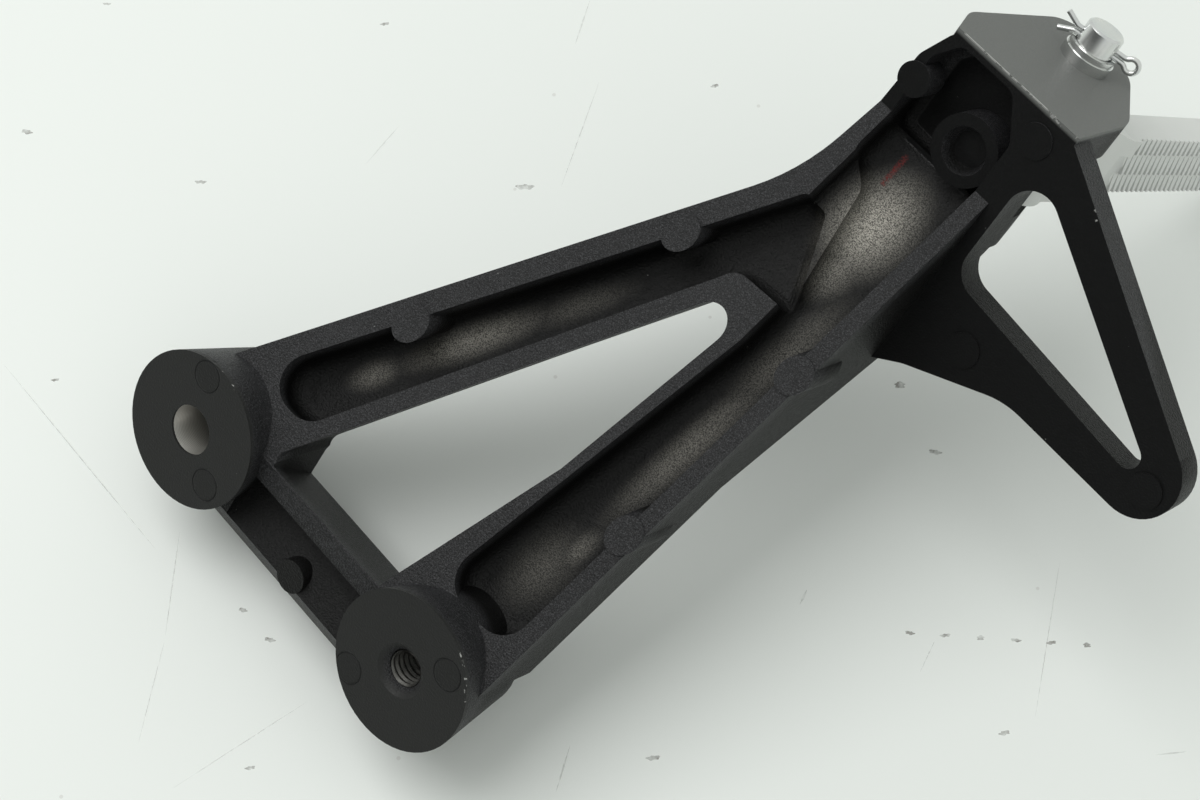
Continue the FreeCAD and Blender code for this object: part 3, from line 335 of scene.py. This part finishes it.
# BORE LINING
# The lower bolt hole has no paint: turned metal with fine rings, pale at the mouth and darkened inwards by
# painted shade.
# It is a thin sleeve just inside the casting's plain hole, with a small chamfer at the mouth.
BORE_RADIUS = 0.00447
BORE_NEAR = -0.00002
BORE_FAR = -0.0178
BORE_HEIGHT = 0.0
CHAMFER = 0.0005
BORE_DARK = (0.34, 0.33, 0.31, 1)
BORE_PALE = (0.52, 0.51, 0.48, 1)
BORE_PAINTED_SHADE = (0.12, 0.115, 0.105, 1)

bare_metal, tree, surface, place = material("bare_bore", (0.5, 0.49, 0.46))
rings = node(tree, "TexWave", {"Vector": place, "Scale": 900.0, "Distortion": 2.0}, bands_direction="Y")
tone = blend(tree, rings.outputs["Fac"], BORE_DARK, BORE_PALE)
deep = node(tree, "SeparateXYZ", {"Vector": place}).outputs["Y"]
# Painted shade: the lining grows darker from the mouth inwards.
tone = blend(tree, ramp(tree, deep, -0.004, -0.015), tone, BORE_PAINTED_SHADE)
tree.links.new(tone, surface.inputs["Base Color"])
surface.inputs["Metallic"].default_value = 0.9
surface.inputs["Roughness"].default_value = 0.42


def surface_mesh(name, points, closed=False):
    """A mesh over a grid of points, shape (rows, columns, 3), with quads between neighbours."""
    rows, columns = points.shape[:2]
    index = np.arange(rows * columns).reshape(rows, columns)
    if closed:
        index = np.concatenate([index, index[:, :1]], axis=1)
    faces = np.stack([index[:-1, :-1], index[1:, :-1], index[1:, 1:], index[:-1, 1:]], axis=-1)
    mesh = bpy.data.meshes.new(name)
    mesh.from_pydata(points.reshape(-1, 3).tolist(), [], faces.reshape(-1, 4).tolist())
    mesh.polygons.foreach_set("use_smooth", np.ones(len(mesh.polygons), dtype=bool))
    made = bpy.data.objects.new(name, mesh)
    bpy.context.scene.collection.objects.link(made)
    return made


def sleeve(radius, near, far, height):
    """p(t, y) = (r sin t, y, z + r cos t), facing the axis, with its mouth opened by a small chamfer."""
    t = np.linspace(0, 2 * np.pi, 64, endpoint=False)
    rows = [(near, radius + CHAMFER), (near - CHAMFER, radius), (far, radius)]
    return np.array([[(r * np.sin(a), y, height + r * np.cos(a)) for a in t] for y, r in rows])


lining = sleeve(BORE_RADIUS, BORE_NEAR, BORE_FAR, BORE_HEIGHT)
bore_lining = surface_mesh("bore_lining", lining, closed=True)
bore_lining.data.materials.append(bare_metal)
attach(bore_lining, "bracket")


# BOLT THREAD
# The upper bolt hole is tapped for the mounting bolt. Its thread looks darker than the plain bore and
# starts a little way in, behind the chamfer of the casting's hole.
THREAD_ROOT = 0.00338
THREAD_DEPTH = 0.0004
THREAD_PITCH = 0.00125
THREAD_NEAR = -0.0016
THREAD_FAR = -0.0170
THREAD_HEIGHT = 0.058
THREAD_DARK = (0.05, 0.05, 0.048, 1)
THREAD_PALE = (0.22, 0.215, 0.20, 1)

tapped, tree, surface, place = material("tapped_thread", (0.2, 0.2, 0.19))
smear = node(tree, "TexNoise", {"Vector": place, "Scale": 900.0, "Detail": 3.0}).outputs["Fac"]
color = blend(tree, smear, THREAD_DARK, THREAD_PALE)
tree.links.new(color, surface.inputs["Base Color"])
tree.links.new(ramp(tree, smear, 0.3, 0.7, 0.28, 0.5), surface.inputs["Roughness"])
surface.inputs["Metallic"].default_value = 0.85


def thread(root, depth, pitch, near, far, height):
    """p(t, y) = (r sin t, y, z + r cos t) with r = root - depth |2 frac(y / pitch + t / 2 pi) - 1|."""
    t = np.linspace(0, 2 * np.pi, 56, endpoint=False)
    y = np.linspace(near, far, int(14 * (near - far) / pitch))[:, None]
    turn = y / pitch + t / (2 * np.pi)
    r = root - depth * np.abs(2 * (turn - np.floor(turn)) - 1)
    return np.stack([r * np.sin(t), np.broadcast_to(y, r.shape), height + r * np.cos(t)], axis=-1)


helix = thread(THREAD_ROOT, THREAD_DEPTH, THREAD_PITCH, THREAD_NEAR, THREAD_FAR, THREAD_HEIGHT)
bolt_thread = surface_mesh("bolt_thread", helix, closed=True)
bolt_thread.data.materials.append(tapped)
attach(bolt_thread, "bracket")


# PEG
# The folding peg is pale blasted alloy with a dull, even sheen. Its rows of teeth are the casting's own;
# the material only adds a fine grain and a slow change of tone.
PEG_DARK = (0.58, 0.59, 0.575, 1)
PEG_PALE = (0.70, 0.71, 0.69, 1)
PEG_GRAIN_SCALE = 3000.0

alloy, tree, surface, place = material("peg_alloy", (0.72, 0.72, 0.7))
grit = use(tree, grain, {"Vector": place, "Scale": PEG_GRAIN_SCALE})
color = blend(tree, grit["Tone"], PEG_DARK, PEG_PALE)
tree.links.new(color, surface.inputs["Base Color"])
surface.inputs["Metallic"].default_value = 0.35
surface.inputs["Roughness"].default_value = 0.5
bump = node(tree, "Bump", {"Height": grit["Height"], "Strength": 0.3, "Distance": 0.0001})
tree.links.new(bump.outputs["Normal"], surface.inputs["Normal"])
finish("peg", alloy)


# PIVOT PIN
# The pin that the peg folds on, in bright zinc plate: smooth, with a faint cool cloudiness.
# Its plain end stands out past the rear ear, with the edge lightly broken.
ZINC_COOL = (0.58, 0.60, 0.62, 1)
ZINC_WARM = (0.82, 0.82, 0.78, 1)
PIN_ROUND = 0.0002

zinc, tree, surface, place = material("zinc_steel", (0.7, 0.7, 0.68))
cloud = node(tree, "TexNoise", {"Vector": place, "Scale": 300.0, "Detail": 3.0})
color = blend(tree, cloud.outputs["Fac"], ZINC_COOL, ZINC_WARM)
tree.links.new(color, surface.inputs["Base Color"])
surface.inputs["Metallic"].default_value = 1.0
tree.links.new(ramp(tree, cloud.outputs["Fac"], 0.0, 1.0, 0.16, 0.32), surface.inputs["Roughness"])
finish("pivot_pin", zinc, PIN_ROUND)


# SPACER WASHER
# The thick washer that lies on the rear ear's outer face.
# It has the same zinc plate as the pin.
finish("spacer_washer", zinc)


# THIN WASHER
# The thin washer between the thick one and the split pin.
# It has the same zinc plate as the pin.
finish("thin_washer", zinc)


# SPLIT PIN
# Folded wire through the end of the pivot pin, its eye on one side and its legs spread on the other.
# It has the same zinc plate as the pin.
finish("split_pin", zinc)


# DETENT BALL
# The ball that clicks into the peg's knuckle, hidden in the throat of the clevis.
# Plain oiled steel, clouded where the oil lies.
STEEL_DARK = (0.22, 0.21, 0.20, 1)
STEEL_PALE = (0.40, 0.40, 0.39, 1)

steel, tree, surface, place = material("spring_steel", (0.45, 0.45, 0.45))
oil = node(tree, "TexNoise", {"Vector": place, "Scale": 500.0})
color = blend(tree, oil.outputs["Fac"], STEEL_DARK, STEEL_PALE)
tree.links.new(color, surface.inputs["Base Color"])
surface.inputs["Metallic"].default_value = 1.0
surface.inputs["Roughness"].default_value = 0.3
finish("detent_ball", steel)


# DETENT SPRING
# The coil behind the ball, hidden in the same throat.
# It has the same oiled steel as the ball.
finish("detent_spring", steel)


# TABLE
# The pale tabletop under the outboard side of the part, with a faint mottle and fine specks.
# It is seen only from its upper side, and is clear from behind.
TABLE_DARK = (0.770, 0.797, 0.768, 1)
TABLE_PALE = (0.795, 0.822, 0.795, 1)
SPECK_BROWN = (0.45, 0.43, 0.40, 1)

table, tree, surface, place = material("tabletop", (0.8, 0.81, 0.8))
broad = node(tree, "TexNoise", {"Vector": place, "Scale": 9.0, "Detail": 3.0})
color = blend(tree, broad.outputs["Fac"], TABLE_DARK, TABLE_PALE)
fine = use(tree, specks, {"Vector": place, "Scale": 160.0, "Share": 0.16, "Size": 0.06})["Mask"]
color = blend(tree, times(tree, fine, 0.32), color, SPECK_BROWN)
tree.links.new(color, surface.inputs["Base Color"])
surface.inputs["Roughness"].default_value = 0.7


def upper_side_only(tree, surface):
    """Lets the material be seen from its front and clears it from behind."""
    back = node(tree, "NewGeometry").outputs["Backfacing"]
    clear = node(tree, "BsdfTransparent")
    seen = node(tree, "MixShader", {0: back, 1: surface.outputs["BSDF"], 2: clear.outputs["BSDF"]})
    tree.links.new(seen.outputs[0], tree.nodes["Material Output"].inputs["Surface"])


upper_side_only(tree, surface)


def turn_to(made, way):
    """Turns a mesh over if its first face looks away from a direction."""
    if made.data.polygons[0].normal.dot(way) < 0:
        made.data.flip_normals()


TABLE_DROP = 0.0262
TABLE_REACH = 1.5
table_normal = Vector((0.77, 0.638, 0.0)).normalized()
table_foot = table_normal * -TABLE_DROP
along = Vector((0, 0, 1))
across = along.cross(table_normal)
corners = [table_foot + (along * a + across * b) * TABLE_REACH
           for a, b in ((-1, -1), (-1, 1), (1, 1), (1, -1))]
top_mesh = bpy.data.meshes.new("tabletop")
top_mesh.from_pydata([tuple(c) for c in corners], [], [(0, 1, 2, 3)])
top = bpy.data.objects.new("tabletop", top_mesh)
bpy.context.scene.collection.objects.link(top)
turn_to(top, table_normal)
top_mesh.materials.append(table)


# TABLE MARKS
# Thin scratches and flat specks of dirt on the tabletop, as in the photo.
# Each is placed by its distances along and across the table.
SCUFF_GREY = (0.40, 0.40, 0.38, 1)
GRIME_BROWN = (0.20, 0.19, 0.165, 1)
SCRATCHES = [
    # start, end, width
    ((-0.0463, 0.0145), (0.0046, 0.0152), 0.00022),
    ((0.0031, 0.0096), (0.0181, 0.0243), 0.00022),
    ((0.0181, 0.0243), (0.0306, 0.0396), 0.00018),
    ((-0.0051, -0.0883), (-0.0186, -0.1101), 0.00020),
    ((-0.0279, -0.1116), (-0.0339, -0.1207), 0.00030),
    ((0.1304, -0.0828), (0.1120, -0.1074), 0.00018),
    ((0.0408, 0.0402), (0.0439, 0.0116), 0.00018),
    ((0.0854, -0.0101), (0.0803, -0.0179), 0.00030),
    ((0.1108, -0.0736), (0.1082, -0.0798), 0.00022),
    ((-0.0365, -0.0740), (-0.0340, -0.0633), 0.00018),
    ((0.0875, -0.0660), (0.0862, -0.0690), 0.00040),
    ((0.1487, -0.0943), (0.1520, -0.0990), 0.00030),
]
CRUMBS = [
    # along, across, size
    (-0.0100, -0.0836, 0.0011), (-0.0830, -0.0180, 0.0008), (-0.0519, -0.0369, 0.0007),
    (-0.0564, -0.0862, 0.0006), (-0.0964, -0.0472, 0.0005), (-0.0028, -0.1263, 0.0006),
    (0.0468, 0.0272, 0.0006), (0.0916, -0.0274, 0.0008), (0.0678, -0.1094, 0.0009),
    (0.0819, -0.1050, 0.0008), (0.1286, -0.0771, 0.0007), (0.0228, 0.0103, 0.0006),
    (0.0304, 0.0101, 0.0007), (-0.0362, 0.0091, 0.0005),
]
ROW_START, ROW_END, ROW_COUNT = (0.1043, -0.0773), (0.1266, -0.0996), 6
CRUMBS += [(*(np.array(ROW_START) + (np.array(ROW_END) - ROW_START) * i / (ROW_COUNT - 1)), 0.0006)
           for i in range(ROW_COUNT)]
LIFT = 0.00004


def on_table(a, b):
    """A point of the tabletop, a along it and b across it."""
    return np.array(table_foot + along * a + across * b + table_normal * LIFT)


def scratch(start, end, width):
    """p(s, w) = start + s (end - start) + w sin(pi s) side: a strip that is widest in its middle."""
    first, last = on_table(*start), on_table(*end)
    side = np.cross(np.array(table_normal), last - first)
    side *= 0.5 * width / np.linalg.norm(side)
    s = np.linspace(0.02, 0.98, 15)[:, None]
    middle_line = first + s * (last - first)
    half = np.sin(np.pi * s) * side
    return np.stack([middle_line - half, middle_line + half], axis=1)


def crumb(a, b, size):
    """p(u, v) = centre + size (lump(u) cos v (1.3 cos u, 0.6 sin u), 0.03 sin v), with a wavy lump(u)."""
    u = np.linspace(0, 2 * np.pi, 24, endpoint=False)
    v = np.linspace(0, np.pi / 2, 6)[:, None]
    turn = 900 * a + 400 * b
    lump = 1 + 0.25 * np.sin(2 * u + turn) + 0.18 * np.sin(5 * u + 2 * turn)
    long_way = 0.653 * np.array(along) - 0.757 * np.array(across)
    short_way = 0.757 * np.array(along) + 0.653 * np.array(across)
    flat = 1.3 * np.cos(u)[:, None] * long_way + 0.6 * np.sin(u)[:, None] * short_way
    spread = (size * lump * np.cos(v))[..., None] * flat
    height = 0.03 * size * np.sin(v) * np.ones_like(u)
    return on_table(a, b) + spread + height[..., None] * np.array(table_normal)


def table_mark(name, color, alpha):
    """A mottled mark on the tabletop, thin where alpha is low."""
    made, tree, surface, place = material(name, color[:3])
    mottle = node(tree, "TexNoise", {"Vector": place, "Scale": 700.0, "Detail": 3.0}).outputs["Fac"]
    dark = tuple(0.5 * c for c in color[:3]) + (1,)
    tree.links.new(blend(tree, mottle, dark, color), surface.inputs["Base Color"])
    tree.links.new(ramp(tree, mottle, 0.35, 0.65, 0.3 * alpha, alpha), surface.inputs["Alpha"])
    surface.inputs["Roughness"].default_value = 0.8
    upper_side_only(tree, surface)
    return made


scuff = table_mark("scuff", SCUFF_GREY, 0.45)
grime = table_mark("grime", GRIME_BROWN, 0.75)
for i, (start, end, width) in enumerate(SCRATCHES, start=1):
    strip = surface_mesh(f"scratch_{i}", scratch(start, end, width))
    strip.data.materials.append(scuff)
    turn_to(strip, table_normal)
for i, (a, b, size) in enumerate(CRUMBS, start=1):
    dirt = surface_mesh(f"crumb_{i}", crumb(a, b, size), closed=True)
    dirt.data.materials.append(grime)
    turn_to(dirt, dirt.data.polygons[0].center - Vector(on_table(a, b)))


# CAMERA
# The photo's own viewpoint, close above the inboard side, fitted to the photo.
# right, up and toward are the camera's axes, which the lights are placed by.
right = Vector((0.4798, -0.5859, 0.6531))
up = Vector((0.6937, -0.2024, -0.6913))
toward = Vector((0.5372, 0.7847, 0.3093))
eye = Vector((0.2812, 0.3126, 0.1831))
camera_data = bpy.data.cameras.new("camera")
camera_data.lens = 78.0
camera_data.sensor_width = 36.0
camera_data.clip_start = 0.01
camera = bpy.data.objects.new("camera", camera_data)
bpy.context.scene.collection.objects.link(camera)
camera.matrix_world = Matrix((
    (right.x, up.x, toward.x, eye.x), (right.y, up.y, toward.y, eye.y),
    (right.z, up.z, toward.z, eye.z), (0, 0, 0, 1)))
bpy.context.scene.camera = camera


# KEY LIGHT
# One broad soft light above and to the left of the camera.
# It lays a soft shadow to the lower right of the arms.
def soft_light(name, place, aim, size, power):
    """A square area light at a point, facing another."""
    data = bpy.data.lights.new(name, "AREA")
    data.size = size
    data.energy = power
    made = bpy.data.objects.new(name, data)
    bpy.context.scene.collection.objects.link(made)
    turn = (aim - place).to_track_quat("-Z", "Y").to_matrix().to_4x4()
    made.matrix_world = Matrix.Translation(place) @ turn


middle = Vector((0.06, -0.05, 0.05))
key_place = middle + toward * 0.72 + up * 0.56 - right * 0.40
KEY_SIZE = 0.75
KEY_POWER = 5.4
soft_light("key", key_place, middle, KEY_SIZE, KEY_POWER)


# ROOM
# The room is evenly pale, with a dark side beyond the left of the picture that the flat faces mirror;
# looked at directly, the backdrop is pale from every side.
ROOM_PALE = 0.78
ROOM_DARK = 0.06
world = bpy.data.worlds.new("room")
bpy.context.scene.world = world
world.use_nodes = True
tree = world.node_tree
dark_side = (right * -0.88 + up * -0.34 + toward * 0.3).normalized()
way = node(tree, "TexCoord").outputs["Generated"]
lean = node(tree, "VectorMath", {0: way, 1: tuple(dark_side)}, operation="DOT_PRODUCT").outputs["Value"]
glow = node(tree, "MapRange", {"Value": lean, "From Min": 0.45, "From Max": 0.95, "To Min": ROOM_PALE,
                               "To Max": ROOM_DARK}, interpolation_type="SMOOTHSTEP").outputs["Result"]
sky = tree.nodes["Background"]
sky.inputs["Color"].default_value = (0.97, 1.0, 0.97, 1)
seen = node(tree, "LightPath").outputs["Is Camera Ray"]
tree.links.new(ramp(tree, seen, 0.0, 1.0, glow, ROOM_PALE), sky.inputs["Strength"])
bpy.context.scene.view_settings.view_transform = "Standard"
